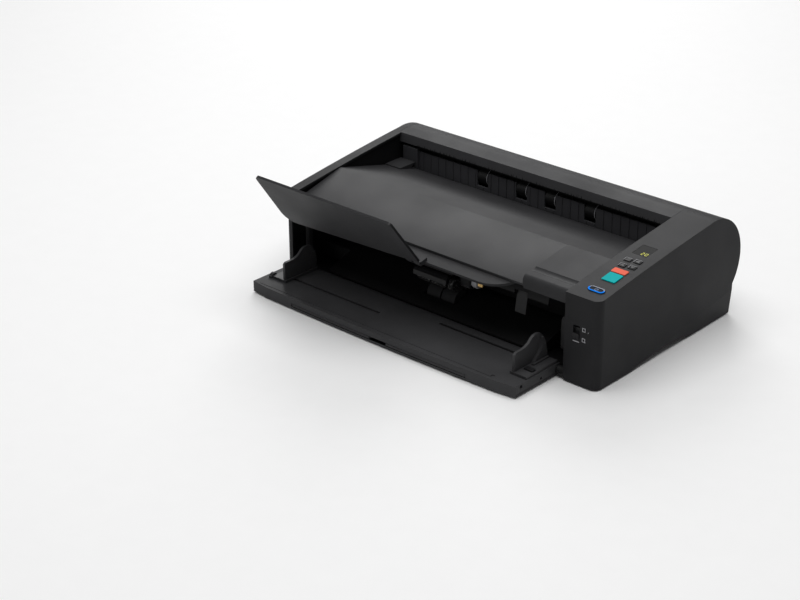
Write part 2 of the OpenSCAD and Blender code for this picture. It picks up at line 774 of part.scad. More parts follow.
module feed_motor() placed(steel) {
    bar_x(20, 48, -40, 70, 14);
    bar_x(14, 20, -40, 70, 5);
    block(48, 50, -56, -24, 56, 84);
}

module feed_roller() placed(rubber_grey) {
    bar_x(-48, 21, separation_y, feed_z, 3);
    for (x = [-19, 1]) bar_x(path_x + x, path_x + x + 18, separation_y, feed_z, feed_r);
}

arm_x = [-38.6, 4.6];

module pickup_arm() placed(inner_black) {
    difference() {
        union() {
            for (x = arm_x) {
                bar_x(x, x + 2, separation_y, feed_z, 5);
                bar_x(x, x + 2, pickup_y, pickup_z, 4);
                along_x(x, x + 2) polygon([[-81, 45.8], [-100, 50], [-100, 42.2], [-79, 36.4]]);
            }
            bar_x(arm_x[0], arm_x[1] + 2, -97, 54.4, 2.2);
            for (x = arm_x) along_x(x, x + 2) polygon([[-99.5, 48], [-99, 55.6], [-94.6, 55], [-93, 46]]);
            block(arm_x[0] + 2, arm_x[1], -104, -93.6, 53.4, 55);
            along_x(arm_x[0], arm_x[1] + 2) polygon([[-107.7, 46.4], [-109, 46.8], [-108.4, 51.6], [-105.6, 54.4],
                [-103.4, 54.8], [-103.4, 53.7], [-105.2, 53], [-107.2, 51]]);
            for (x = arm_x) along_x(x, x + 2) polygon([[-108.2, 47], [-108, 51.6], [-104, 54.4], [-98, 54.6], [-98, 48]]);
        }
        for (x = arm_x) {
            bar_x(x - 1, x + 3, separation_y, feed_z, 3.06);
            bar_x(x - 1, x + 3, pickup_y, pickup_z, 2.06);
        }
    }
}

module pickup_roller() placed([0.75, 0.75, 0.73]) {
    bar_x(-42, 15, pickup_y, pickup_z, 2);
    for (x = [-19, 1]) bar_x(path_x + x, path_x + x + 18, pickup_y, pickup_z, 6.6);
    bar_x(8, 14, pickup_y, pickup_z, 7);
}

module registration_pinch() placed(rubber_grey) {
    bar_x(unit_left_x, unit_right_x, reg_y, nip_z + 8.3, 3);
    for (x = roller_x) bar_x(x - roller_w / 2, x + roller_w / 2, reg_y, nip_z + 8.3, 8);
}

module transport_pinch() placed(rubber_grey) {
    bar_x(unit_left_x, unit_right_x, transport_y, nip_z + 8.3, 3);
    for (x = roller_x) bar_x(x - roller_w / 2, x + roller_w / 2, transport_y, nip_z + 8.3, 8);
}

module open_lever() placed(cover_black) {
    bar_x(unit_left_x + 0.4, unit_right_x - 0.4, -93, 80, 2.5);
    along_x(96.5, 110) polygon([[-94, 77], [-91, 79], [-91, 82], [-96, 82], [-104.5, 62], [-107, 46], [-104.6, 45.6], [-101.5, 61]]);
}

module eject_extension() placed(cover_black) {
    translate([0, eject_lip_y, eject_lip_z]) rotate([eject_slope, 0, 0]) translate([0, 0, -plate_t]) linear_extrude(plate_t) {
        translate([unit_left_x + 0.6, 0]) square([72 - unit_left_x - 0.6, 46]);
        intersection() {
            translate([72, 40]) circle(r = 40, $fn = fine);
            translate([60, -1]) square([60, 47]);
        }
        translate([70, 40]) square([42, 6]);
    }
    for (x = flap_knuckle_x) difference() {
        union() {
            bar_x(x + knuckle_w + 0.4, x + 2 * knuckle_w, flap_axis_y, flap_axis_z, knuckle_r);
            translate([x + knuckle_w + 0.4, flap_axis_y, flap_axis_z]) rotate([eject_slope, 0, 0]) translate([0, 0, -3.4]) cube([knuckle_w - 0.4, 10, 4.6]);
        }
        bar_x(x, x + 20, flap_axis_y, flap_axis_z, flap_pin_r + 0.06);
    }
}

// Points of a rounded corner about x, y, from angle a0 to a1
function corner(x, y, r, a0, a1) = [for (i = [0:8]) let (a = a0 + (a1 - a0) * i / 8) [x + r * cos(a), y + r * sin(a)]];

module extension_flap() placed(cover_black) {
    translate([0, flap_y, flap_z]) rotate([flap_angle, 0, 0]) {
        translate([0, 0, -flap_t]) linear_extrude(flap_t) polygon(concat(
            corner(7, 13, 2, -84, 1),
            corner(-0.5, flap_len - 4, 4, 6, 90),
            corner(-182.5, flap_len - 6, 6, 90, 176),
            corner(-174.5, 11, 14, 176, 270)
        ));
        for (x = flap_knuckle_x) along_x(x + 0.4, x + knuckle_w - 0.4)
            polygon([[-1.6, -5.3], [1.6, -5.3], [8, -3.5], [13.2, -3.3], [13.2, -2.2], [2, -2.2], [-1.6, -4.3]]);
    }
    for (x = flap_knuckle_x) {
        bar_x(x, x + knuckle_w, flap_axis_y, flap_axis_z, knuckle_r);
        bar_x(x + 1, x + 2 * knuckle_w - 0.4, flap_axis_y, flap_axis_z, flap_pin_r);
    }
}

// ---- Feed tray ----

// Plan of the tray, drawn in by t, with its bowed front edge
module tray_plan(t) {
    steps = 16;
    x0 = tray_left_x + t;
    x1 = tray_right_x - t;
    polygon(concat(
        [[x0, tray_hinge_y + 10], [x0, tray_front(x0) + t + 2]],
        [for (i = [1:steps - 1]) let (x = x0 + (x1 - x0) * i / steps) [x, tray_front(x) + t]],
        [[x1, tray_front(x1) + t + 2], [x1, tray_hinge_y + 10]]
    ));
}

// Side view of the tray with its half round hinge end, drawn in by t
module tray_side(t) {
    intersection() {
        union() {
            translate([-200, foot_h + t]) square([200 + tray_hinge_y, tray_t - 2 * t]);
            translate([tray_hinge_y, tray_hinge_z]) circle(r = 6.5 - t, $fn = 64);
        }
        translate([-210, foot_h + t]) square([120, 30]);
    }
}

bottom_t = 1.4;

module feed_tray() placed(cover_black) {
    stem_y = pinion_y + pinion_r + 4;
    difference() {
        union() {
            intersection() {
                along_x(tray_left_x, tray_right_x) tray_side(0);
                linear_extrude(30) tray_plan(0);
            }
            block(-196, -191.9, -167.5, -157.5, tray_top_z - 1, tray_top_z + 2.6);
            along_x(-196, -191.9) translate([-162.5, tray_top_z + 1]) circle(r = 4, $fn = 48);
        }
        difference() {
            intersection() {
                along_x(tray_left_x + 8, tray_right_x - 7.5) tray_side(tray_skin);
                linear_extrude(30) tray_plan(tray_skin);
            }
            translate([path_x, pinion_y, 0]) cylinder(h = 30, r = 2, $fn = 48);
        }
        intersection() {
            block(tray_left_x + 5, tray_right_x - 5, -200, -122, foot_h - 1, foot_h + bottom_t + 1);
            linear_extrude(30) tray_plan(1.2);
        }
        translate([path_x, pinion_y, -1]) cylinder(h = rack_z, r = 4, $fn = 48);
        block(-141, 101, -200, -180, 3.5, 7.5);
        bar_x(tray_left_x - 1, tray_left_x + 7, tray_hinge_y, tray_hinge_z, tray_pin_r + 0.06);
        bar_x(tray_right_x - 7, tray_right_x + 1, tray_hinge_y, tray_hinge_z, tray_pin_r + 0.06);
        block(fin_right_x - guide_travel - 0.6, fin_right_x + guide_stem_w + 1.2, stem_y - 2, stem_y + 2, 10, 20);
        block(2 * path_x - fin_right_x - guide_stem_w - 1.2, 2 * path_x - fin_right_x + guide_travel + 0.6,
            2 * pinion_y - stem_y - 2, 2 * pinion_y - stem_y + 2, 10, 20);
        block(tray_right_x - 3, tray_right_x + 1, -177.3, -173.7, 8.8, 12.2);
        bar_x(tray_right_x - 3, tray_right_x + 1, -144.2, 7.3, 1.5);
        for (x = [tray_left_x - 1, tray_right_x - 0.7]) block(x, x + 1.7, -200, -122, 3.4, 4);
        block(tray_left_x + 9, 128, -183.6, -182.9, tray_top_z - 0.6, 20);
        block(128, 131.5, -183.6, -179, tray_top_z - 0.9, 20);
    }
}

module feed_tray_bottom() placed(inner_black) {
    difference() {
        intersection() {
            block(tray_left_x + 5.2, tray_right_x - 5.2, -200, -122.2, foot_h, foot_h + bottom_t);
            linear_extrude(30) tray_plan(1.4);
        }
        for (x = [-150:40:130]) block(x, x + 20, -150, -140, 0, 5);
    }
}

module tray_extension() placed(cover_black) {
    difference() {
        intersection() {
            block(-140, 100, -200, -126, 4.1, 7);
            linear_extrude(30) tray_plan(0.4);
        }
        translate([path_x, -192, 0]) cylinder(h = 10, r = 12, $fn = 64);
    }
}

// Rack teeth along X, pointing to -Y, with a tooth middle at x = 0 and the pitch line at y = 0
module rack_outline(x0, x1) {
    pitch = PI * module_mm;
    half = pitch / 4 - backlash / 2;
    lean = tan(20);
    first = ceil(x0 / pitch);
    last = floor(x1 / pitch);
    polygon(concat(
        [[x0 - 2, 4.6], [x0 - 2, 1.25]],
        [for (k = [first:last]) for (p = [[-half - 1.25 * lean, 1.25], [-half + 0.9 * lean, -0.9], [half - 0.9 * lean, -0.9], [half + 1.25 * lean, 1.25]]) [k * pitch + p[0], p[1]]],
        [[x1 + 2, 1.25], [x1 + 2, 4.6]]
    ));
}

// One document guide with its rack, made about the pinion's axis; the fin stands at fin_x from it
module guide_body(fin_x) {
    translate([0, pinion_r, rack_z]) linear_extrude(rack_t) rack_outline(-14, fin_x + 8);
    translate([fin_x, pinion_r + 2.4, rack_z]) cube([guide_stem_w, 3.2, 13.8 - rack_z + 0.6]);
}

// The upright fin: a low front part, then a wave up to the taller rear part
module fin(x0) {
    along_x(x0, x0 + fin_t) {
        polygon([
            [-165, 13.9], [-165, 34.5], [-162.5, 36.4], [-154, 36.4], [-148, 37.2], [-143, 39.4],
            [-138.5, 43.6], [-134, 45.4], [-129, 45.4], [-125, 44], [-121.5, 41], [-119, 34], [-117.4, 24], [-117, 13.9]
        ]);
    }
    along_x(x0 - 0.4, x0 + fin_t + 0.4) translate([-119.4, 14]) square([2.4, 16]);
}

// The hollow back of a fin's tall part, on its outer side, with a curved front end
module fin_back(x0, x1) {
    along_x(x0, x1) polygon([
        [-139, 16], [-135, 21], [-131, 24.5], [-127.5, 28], [-125.4, 32], [-125, 37], [-126, 41],
        [-124, 41], [-121.4, 36], [-119, 28], [-117.2, 20], [-117, 16]
    ]);
}

lock_spot = [fin_right_x + 11, -151.5];

module guide_right() placed(cover_black) {
    translate([path_x, pinion_y, 0]) guide_body(fin_right_x - path_x);
    difference() {
        union() {
            fin(fin_right_x);
            fin_back(fin_right_x + fin_t - 0.5, fin_right_x + fin_t + 3.4);
            block(fin_right_x - 2, fin_right_x + 18.4, -166, -117, 13.9, 16.4);
            block(fin_right_x + 6, fin_right_x + 9, -142, -118, 16, 18);
        }
        translate([lock_spot[0], lock_spot[1], 14.9]) linear_extrude(3) round_rect(11.6, 6.6, 1.3);
        translate([lock_spot[0], lock_spot[1], 13]) cylinder(h = 4, r = 1.7, $fn = 32);
    }
}

module guide_lock() placed(cover_black) {
    translate([lock_spot[0], lock_spot[1], 16.2]) linear_extrude(1.9) round_rect(11, 6, 1);
    translate([lock_spot[0], lock_spot[1], 14.9]) cylinder(h = 1.6, r = 1.4, $fn = 32);
}

module guide_left() placed(cover_black) {
    translate([path_x, pinion_y, 0]) rotate([0, 0, 180]) guide_body(fin_right_x - path_x);
    mirror_x = 2 * path_x;
    fin(mirror_x - fin_right_x - fin_t);
    fin_back(mirror_x - fin_right_x - fin_t - 3.4, mirror_x - fin_right_x - fin_t + 0.5);
    block(mirror_x - fin_right_x - 0.6, mirror_x - fin_right_x + 0.5, -126.6, -118, 15, 36);
    block(mirror_x - fin_right_x - 18.4, mirror_x - fin_right_x + 2, -166, -117, 13.9, 16.4);
}

module guide_pinion() placed([0.85, 0.85, 0.82]) {
    translate([path_x, pinion_y, rack_z]) linear_extrude(rack_t) difference() {
        rotate(90) gear_outline(pinion_teeth, module_mm);
        circle(r = 2.06, $fn = 48);
    }
}

base_pan();
rubber_feet();
left_side_cover();
right_side_cover();
left_inner_cover();
right_inner_cover();
left_frame_plate();
right_frame_plate();
rear_bar_cover();
rear_round_cover();
rear_lower_cover();
rear_guide_panel();
antistatic_brush();
turn_drum();
lower_guide();
lower_scan_unit();
lower_scan_glass();
main_motor();
drive_belt();
control_board();
panel_board();
dc_inlet();
usb_port();
display_window();
cover_screws();
shaft_bushes();
hinge_pins();
motor_pulley();
registration_roller();
transport_roller();
eject_roller();
eject_pinch_rollers();
separation_roller();
power_button();
start_button();
stop_button();
option_button_1();
option_button_2();
option_button_3();
option_button_4();
mode_lever();
eject_tray_cover();
upper_frame();
upper_scan_unit();
feed_motor();
feed_roller();
pickup_arm();
pickup_roller();
registration_pinch();
transport_pinch();
open_lever();
eject_extension();
extension_flap();
feed_tray();
feed_tray_bottom();
tray_extension();
guide_right();
guide_left();
guide_pinion();
guide_lock();
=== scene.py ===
"""Looks of a sheet fed document scanner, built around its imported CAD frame.

Metres, X right, Y back, Z up.
"""
import json
import math
import random

import bmesh
import bpy
from mathutils import Matrix, Vector

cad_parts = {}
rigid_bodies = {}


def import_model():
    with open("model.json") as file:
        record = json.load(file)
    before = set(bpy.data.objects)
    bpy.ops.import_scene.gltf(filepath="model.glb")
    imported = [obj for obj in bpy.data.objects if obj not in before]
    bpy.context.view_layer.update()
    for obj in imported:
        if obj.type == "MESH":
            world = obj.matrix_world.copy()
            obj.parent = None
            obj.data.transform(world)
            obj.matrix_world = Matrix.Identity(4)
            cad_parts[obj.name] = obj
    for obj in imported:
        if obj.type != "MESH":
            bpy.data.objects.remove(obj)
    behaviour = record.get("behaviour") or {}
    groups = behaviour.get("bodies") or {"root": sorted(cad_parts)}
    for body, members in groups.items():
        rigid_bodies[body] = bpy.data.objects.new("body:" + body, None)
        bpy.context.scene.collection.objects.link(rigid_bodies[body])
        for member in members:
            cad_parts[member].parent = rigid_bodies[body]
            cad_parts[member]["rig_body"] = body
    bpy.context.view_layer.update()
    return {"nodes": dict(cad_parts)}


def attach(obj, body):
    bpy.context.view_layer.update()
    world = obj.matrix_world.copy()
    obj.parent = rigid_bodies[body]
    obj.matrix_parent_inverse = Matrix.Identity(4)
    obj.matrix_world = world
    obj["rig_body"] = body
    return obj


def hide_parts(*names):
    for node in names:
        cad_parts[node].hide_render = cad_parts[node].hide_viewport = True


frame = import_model()
random.seed(7)

# The CAD's Y origin lies this far behind the middle of the body
Y0 = 0.033723
# The eject roller's axis (y, z) and radius, in the body's millimetres
EJECT = (64, 92.5, 9.3)
# The eject rollers' middles in X, and half a roller's width
EJECT_X = (-82, -27, 12.6, 66)
EJECT_HALF = 6.5
# The middles of the power key and of the display on the panel
POWER_KEY = (194.2, -105)
DISPLAY = (189.6, -20)
# The right cover's front face in Y; behind it the panel rises by a slope that slowly flattens
FRONT_Y = -123
PANEL_SLOPE = 0.1445
PANEL_BEND = 0.000132
# The rear bar's front face in Y
BAR_FRONT_Y = 52
# The brush strip's two ends in X, and the height where its bristles start
BRUSH_ENDS = (-176.9, 161.9)
BRISTLE_Z = 106.6
# Edges sharper than this are rounded
EDGE_ANGLE = math.radians(30.0)


def at(x, y, z):
    """A point in the body's own millimetres: x and y from its middle, z above the desk."""
    return Vector((x / 1000, y / 1000 + Y0, z / 1000))


# ---- Materials ----


def material(
    name, color, roughness=0.5, metallic=0.0, grain=0.0, grain_scale=1500.0, mottle=0.0,
    smudge=0.0, specks=0.0, **extra
):
    """A procedural surface: mottled or specked colour, fine moulded grain and uneven gloss."""
    m = bpy.data.materials.new(name)
    m.use_nodes = True
    nt = m.node_tree
    bsdf = nt.nodes["Principled BSDF"]
    bsdf.inputs["Base Color"].default_value = (*color, 1.0)
    bsdf.inputs["Roughness"].default_value = roughness
    bsdf.inputs["Metallic"].default_value = metallic
    for key, value in extra.items():
        bsdf.inputs[key.replace("_", " ")].default_value = value
    coord = nt.nodes.new("ShaderNodeTexCoord")
    if mottle:
        noise = nt.nodes.new("ShaderNodeTexNoise")
        noise.inputs["Scale"].default_value = 38.0
        noise.inputs["Detail"].default_value = 4.0
        ramp = nt.nodes.new("ShaderNodeValToRGB")
        ramp.color_ramp.elements[0].position = 0.35
        ramp.color_ramp.elements[1].position = 0.65
        ramp.color_ramp.elements[0].color = (*[c * (1 - mottle) for c in color], 1)
        ramp.color_ramp.elements[1].color = (*[min(1.0, c * (1 + mottle)) for c in color], 1)
        nt.links.new(coord.outputs["Object"], noise.inputs["Vector"])
        nt.links.new(noise.outputs["Fac"], ramp.inputs["Fac"])
        nt.links.new(ramp.outputs["Color"], bsdf.inputs["Base Color"])
    if smudge:
        noise = nt.nodes.new("ShaderNodeTexNoise")
        noise.inputs["Scale"].default_value = 14.0
        noise.inputs["Detail"].default_value = 6.0
        span = nt.nodes.new("ShaderNodeMapRange")
        span.inputs["From Min"].default_value = 0.3
        span.inputs["From Max"].default_value = 0.7
        span.inputs["To Min"].default_value = max(0.02, roughness - smudge)
        span.inputs["To Max"].default_value = min(1.0, roughness + smudge)
        nt.links.new(coord.outputs["Object"], noise.inputs["Vector"])
        nt.links.new(noise.outputs["Fac"], span.inputs["Value"])
        nt.links.new(span.outputs["Result"], bsdf.inputs["Roughness"])
    if specks:
        noise = nt.nodes.new("ShaderNodeTexNoise")
        noise.inputs["Scale"].default_value = 420.0
        noise.inputs["Detail"].default_value = 2.0
        ramp = nt.nodes.new("ShaderNodeValToRGB")
        ramp.color_ramp.elements[0].position = 0.56
        ramp.color_ramp.elements[1].position = 0.66
        ramp.color_ramp.elements[0].color = (*color, 1)
        ramp.color_ramp.elements[1].color = (specks, specks, specks, 1)
        nt.links.new(coord.outputs["Object"], noise.inputs["Vector"])
        nt.links.new(noise.outputs["Fac"], ramp.inputs["Fac"])
        nt.links.new(ramp.outputs["Color"], bsdf.inputs["Base Color"])
    if grain:
        noise = nt.nodes.new("ShaderNodeTexVoronoi")
        noise.inputs["Scale"].default_value = grain_scale
        bump = nt.nodes.new("ShaderNodeBump")
        bump.inputs["Strength"].default_value = grain
        bump.inputs["Distance"].default_value = 0.0002
        nt.links.new(coord.outputs["Object"], noise.inputs["Vector"])
        nt.links.new(noise.outputs["Distance"], bump.inputs["Height"])
        nt.links.new(bump.outputs["Normal"], bsdf.inputs["Normal"])
    return m


COVER = material(
    "cover_black", (0.018, 0.018, 0.0192), 0.50, grain=0.25, mottle=0.06, smudge=0.05,
    Specular_IOR_Level=0.12,
)
TRAY = material(
    "tray_black", (0.031, 0.031, 0.0325), 0.50, grain=0.2, mottle=0.06, smudge=0.05,
    Specular_IOR_Level=0.12,
)
SATIN = material(
    "satin_black", (0.012, 0.012, 0.013), 0.36, grain=0.05, mottle=0.05, smudge=0.04,
    Specular_IOR_Level=0.25,
)
INNER = material(
    "inner_black", (0.0045, 0.0045, 0.005), 0.60, grain=0.3, mottle=0.08, smudge=0.05,
    Specular_IOR_Level=0.3,
)
# The rear guide panel's dark plastic, lightened: painted light standing in for the light the paper bounces
# onto its front
PANEL_PAINTED_BOUNCE = material(
    "panel_painted_bounce", (0.050, 0.050, 0.055), 0.55, grain=0.15, mottle=0.06, smudge=0.05,
    Specular_IOR_Level=0.35,
)
STEEL = material(
    "steel", (0.52, 0.53, 0.55), 0.32, metallic=1.0, grain=0.08, grain_scale=700.0, mottle=0.05,
    smudge=0.08,
)
RUBBER = material(
    "rubber", (0.022, 0.022, 0.023), 0.75, grain=0.5, grain_scale=900.0, mottle=0.1, smudge=0.05,
    Specular_IOR_Level=0.3,
)
WHEEL = material(
    "wheel_black", (0.006, 0.006, 0.0065), 0.5, grain=0.3, grain_scale=900.0, mottle=0.1, smudge=0.05,
    Specular_IOR_Level=0.35,
)
DUSTY = material(
    "wheel_dusty", (0.010, 0.010, 0.010), 0.7, grain=0.4, grain_scale=900.0, specks=0.10,
    Specular_IOR_Level=0.2,
)
ROLLER_PALE = material(
    "roller_pale", (0.30, 0.30, 0.29), 0.55, grain=0.3, grain_scale=900.0, mottle=0.06, smudge=0.05,
)
BRONZE = material("bronze", (0.50, 0.34, 0.14), 0.38, metallic=1.0, grain=0.1, mottle=0.08, smudge=0.08)
NYLON = material("nylon", (0.68, 0.67, 0.62), 0.5, grain=0.1, mottle=0.04, smudge=0.05)
BOARD = material("board", (0.015, 0.10, 0.05), 0.4, grain=0.2, mottle=0.2, smudge=0.1)
GLASS = material("scan_glass", (0.55, 0.65, 0.62), 0.04, mottle=0.02, Transmission_Weight=0.85, IOR=1.5)
WINDOW = material("window", (0.004, 0.004, 0.004), 0.25, mottle=0.05, smudge=0.04, Specular_IOR_Level=0.03)
KEY = material(
    "key_black", (0.007, 0.007, 0.0075), 0.5, grain=0.12, mottle=0.05, smudge=0.05,
    Specular_IOR_Level=0.06,
)
TEAL = material(
    "key_teal", (0.001, 0.40, 0.41), 0.50, grain=0.12, mottle=0.04, smudge=0.05, Specular_IOR_Level=0.03,
)
CORAL = material(
    "key_coral", (0.80, 0.14, 0.085), 0.50, grain=0.12, mottle=0.04, smudge=0.05,
    Specular_IOR_Level=0.04,
)
BAR = material(
    "bar_black", (0.026, 0.026, 0.0275), 0.50, grain=0.25, mottle=0.06, smudge=0.05,
    Specular_IOR_Level=0.12,
)
FIN = material(
    "fin_grey", (0.042, 0.042, 0.044), 0.42, grain=0.1, mottle=0.06, smudge=0.05,
    Specular_IOR_Level=0.25,
)
LEDGE = material(
    "tray_grey", (0.044, 0.044, 0.046), 0.50, grain=0.2, mottle=0.06, smudge=0.05,
    Specular_IOR_Level=0.12,
)
# A lighter copy of the bar's black for its front faces: painted light for the light the paper bounces onto
# them
BAR_FRONT_PAINTED_LIGHT = material(
    "bar_front_painted_light", (0.075, 0.075, 0.079), 0.50, grain=0.25, mottle=0.06, smudge=0.05,
    Specular_IOR_Level=0.2,
)
BRISTLE = material(
    "bristle", (0.003, 0.003, 0.003), 0.7, grain=0.3, mottle=0.1, smudge=0.05, Specular_IOR_Level=0.2,
)

NODE_LOOKS = {
    "base_pan": INNER, "rubber_feet": RUBBER, "left_side_cover": COVER, "right_side_cover": COVER,
    "left_inner_cover": INNER, "right_inner_cover": INNER,
    "left_frame_plate": STEEL, "right_frame_plate": STEEL,
    "rear_bar_cover": BAR, "rear_round_cover": COVER, "rear_lower_cover": COVER, "rear_guide_panel": PANEL_PAINTED_BOUNCE,
    "antistatic_brush": BRISTLE, "turn_drum": INNER, "lower_guide": INNER, "lower_scan_unit": INNER,
    "lower_scan_glass": GLASS, "main_motor": STEEL, "drive_belt": RUBBER, "control_board": BOARD,
    "panel_board": BOARD, "dc_inlet": SATIN, "usb_port": STEEL, "display_window": WINDOW,
    "cover_screws": STEEL,
    "shaft_bushes": BRONZE, "hinge_pins": STEEL, "motor_pulley": STEEL, "registration_roller": RUBBER,
    "transport_roller": RUBBER, "eject_roller": WHEEL, "eject_pinch_rollers": ROLLER_PALE,
    "separation_roller": RUBBER, "power_button": WINDOW, "start_button": TEAL, "stop_button": CORAL,
    "option_button_1": KEY, "option_button_2": KEY, "option_button_3": KEY, "option_button_4": KEY,
    "mode_lever": SATIN, "eject_tray_cover": TRAY, "upper_frame": INNER, "upper_scan_unit": INNER,
    "feed_motor": STEEL, "feed_roller": RUBBER, "pickup_arm": SATIN, "pickup_roller": DUSTY,
    "registration_pinch": RUBBER, "transport_pinch": RUBBER, "open_lever": SATIN, "eject_extension": TRAY,
    "extension_flap": TRAY, "feed_tray": LEDGE, "feed_tray_bottom": INNER, "tray_extension": LEDGE,
    "guide_right": FIN, "guide_left": FIN, "guide_pinion": NYLON, "guide_lock": SATIN,
}

for _node, _look in NODE_LOOKS.items():
    _obj = frame["nodes"][_node]
    for _slot in _obj.material_slots:
        _slot.material = _look

# ---- Mesh helpers ----


def add_piece(name, bm, look, body, replaces=()):
    """Turns a bmesh into a shaded piece that rides on a CAD body."""
    mesh = bpy.data.meshes.new(name)
    bmesh.ops.recalc_face_normals(bm, faces=bm.faces)
    bm.to_mesh(mesh)
    bm.free()
    mesh.materials.append(look)
    for poly in mesh.polygons:
        poly.use_smooth = True
    mesh.set_sharp_from_angle(angle=math.radians(35))
    obj = bpy.data.objects.new(name, mesh)
    bpy.context.scene.collection.objects.link(obj)
    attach(obj, body)
    if replaces:
        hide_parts(*replaces)


def refine(node, width, rule=None):
    """A copy of a CAD node with moulded, rounded edges.

    rule(point) scales the rounding at an edge's middle.
    """
    source = frame["nodes"][node]
    bm = bmesh.new()
    bm.from_mesh(source.data)
    bmesh.ops.remove_doubles(bm, verts=bm.verts, dist=2e-6)
    bmesh.ops.dissolve_limit(bm, angle_limit=math.radians(0.4), verts=bm.verts, edges=bm.edges)
    layer = bm.edges.layers.float.new("bevel_weight_edge")
    for e in bm.edges:
        if len(e.link_faces) == 2 and e.calc_face_angle(0.0) > EDGE_ANGLE:
            mid = (e.verts[0].co + e.verts[1].co) / 2
            e[layer] = rule(mid * 1000 - Vector((0, Y0 * 1000, 0))) if rule else 1.0
    mesh = bpy.data.meshes.new(node + "_form")
    bm.to_mesh(mesh)
    bm.free()
    obj = bpy.data.objects.new(node + "_form", mesh)
    bpy.context.scene.collection.objects.link(obj)
    bevel = obj.modifiers.new("round", "BEVEL")
    bevel.width = width / 1000
    bevel.segments = 3
    bevel.limit_method = "WEIGHT"
    bevel.use_clamp_overlap = True
    weighted = obj.modifiers.new("normals", "WEIGHTED_NORMAL")
    weighted.keep_sharp = True
    for poly in mesh.polygons:
        poly.use_smooth = True
    mesh.set_sharp_from_angle(angle=math.radians(60))
    done = bpy.data.meshes.new_from_object(obj.evaluated_get(bpy.context.evaluated_depsgraph_get()))
    bpy.data.objects.remove(obj)
    done.name = node + "_form"
    done.materials.clear()
    done.materials.append(NODE_LOOKS[node])
    piece = bpy.data.objects.new(node + "_form", done)
    bpy.context.scene.collection.objects.link(piece)
    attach(piece, source["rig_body"])
    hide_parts(node)
    return piece


def prism(bm, points, x0, x1):
    """A side view outline in Y and Z, drawn from x0 to x1, in the body's millimetres."""
    left = [bm.verts.new(at(x0, y, z)) for y, z in points]
    right_side = [bm.verts.new(at(x1, y, z)) for y, z in points]
    bm.faces.new(left)
    bm.faces.new(reversed(right_side))
    n = len(points)
    for i in range(n):
        bm.faces.new((left[i], left[(i + 1) % n], right_side[(i + 1) % n], right_side[i]))


def block(bm, x0, x1, y0, y1, z0, z1):
    prism(bm, [(y0, z0), (y1, z0), (y1, z1), (y0, z1)], x0, x1)


def soften(bm, width):
    """Rounds every edge of a small moulded piece."""
    bmesh.ops.recalc_face_normals(bm, faces=bm.faces)
    bmesh.ops.bevel(
        bm, geom=bm.edges[:], offset=width / 1000, segments=2, affect="EDGES", clamp_overlap=True,
    )


def top_z(y):
    """The height of the panel's surface at y."""
    return 97 + PANEL_SLOPE * (y - FRONT_Y) - PANEL_BEND * (y - FRONT_Y) ** 2


def panel_place(x, y, lift=0.0):
    """The frame of the control panel at x, y: its Z is the panel's normal."""
    tilt = math.atan(PANEL_SLOPE - 2 * PANEL_BEND * (y - FRONT_Y))
    turned = Matrix.Translation(at(x, y, top_z(y))) @ Matrix.Rotation(tilt, 4, "X")
    return turned @ Matrix.Translation((0, 0, lift / 1000))


def front_place(x, z, lift=0.0):
    """The frame of the right cover's front face at x, z: its Z points forward."""
    return Matrix.Translation(at(x, FRONT_Y - lift, z)) @ Matrix.Rotation(math.radians(90), 4, "X")


def plate(bm, place, points, thick=0.06):
    """A thin printed or inlaid shape: an outline in millimetres in a local frame."""
    low = [bm.verts.new(place @ Vector((x / 1000, y / 1000, 0))) for x, y in points]
    high = [bm.verts.new(place @ Vector((x / 1000, y / 1000, thick / 1000))) for x, y in points]
    bm.faces.new(reversed(low))
    bm.faces.new(high)
    n = len(points)
    for i in range(n):
        bm.faces.new((low[i], low[(i + 1) % n], high[(i + 1) % n], high[i]))


def stadium(w, d, n=10):
    """Points of a pill outline, w long in X and d wide."""
    r = d / 2
    half = w / 2 - r
    angles = [math.pi * (i / n - 0.5) for i in range(n + 1)]
    right_end = [(half + r * math.cos(a), r * math.sin(a)) for a in angles]
    return right_end + [(-x, -y) for x, y in right_end]


def ring_band(bm, place, outer, inner, z0, z1):
    """A band between two outlines with the same number of points."""
    rings = []
    for outline, z in ((outer, z0), (outer, z1), (inner, z1), (inner, z0)):
        rings.append([bm.verts.new(place @ Vector((x / 1000, y / 1000, z / 1000))) for x, y in outline])
    n = len(outer)
    for k in range(4):
        a, b = rings[k], rings[(k + 1) % 4]
        for i in range(n):
            bm.faces.new((a[i], a[(i + 1) % n], b[(i + 1) % n], b[i]))


# ---- Control panel ----

GLOW_BLUE = material(
    "glow_blue", (0.0, 0.13, 0.55), 0.5, mottle=0.04, Specular_IOR_Level=0.02,
    Emission_Color=(0.0, 0.22, 0.85, 1), Emission_Strength=0.42,
)
DEEP_BLUE = material("deep_blue", (0.004, 0.016, 0.06), 0.2, mottle=0.05, smudge=0.04)
FAINT_BLUE = material(
    "faint_blue", (0.01, 0.05, 0.16), 0.25, mottle=0.04, Emission_Color=(0.03, 0.2, 0.7, 1),
    Emission_Strength=0.12,
)
GLOW_DIGIT = material(
    "glow_digit", (0.45, 0.45, 0.03), 0.4, mottle=0.04, Emission_Color=(0.75, 0.72, 0.05, 1),
    Emission_Strength=0.55,
)
# Pale for printed marks and the feed sensor; the same pale paints the highlight rings on the eject rollers'
# ends
PALE_MARK_AND_HIGHLIGHT = material("pale_mark_and_highlight", (0.36, 0.36, 0.38), 0.6, mottle=0.05, smudge=0.05)
# Black for the printed key marks; the same black paints a shadow line on the flap's right edge
MARK_AND_SHADE_BLACK = material("mark_and_shade_black", (0.004, 0.004, 0.005), 0.45, mottle=0.05, smudge=0.05)

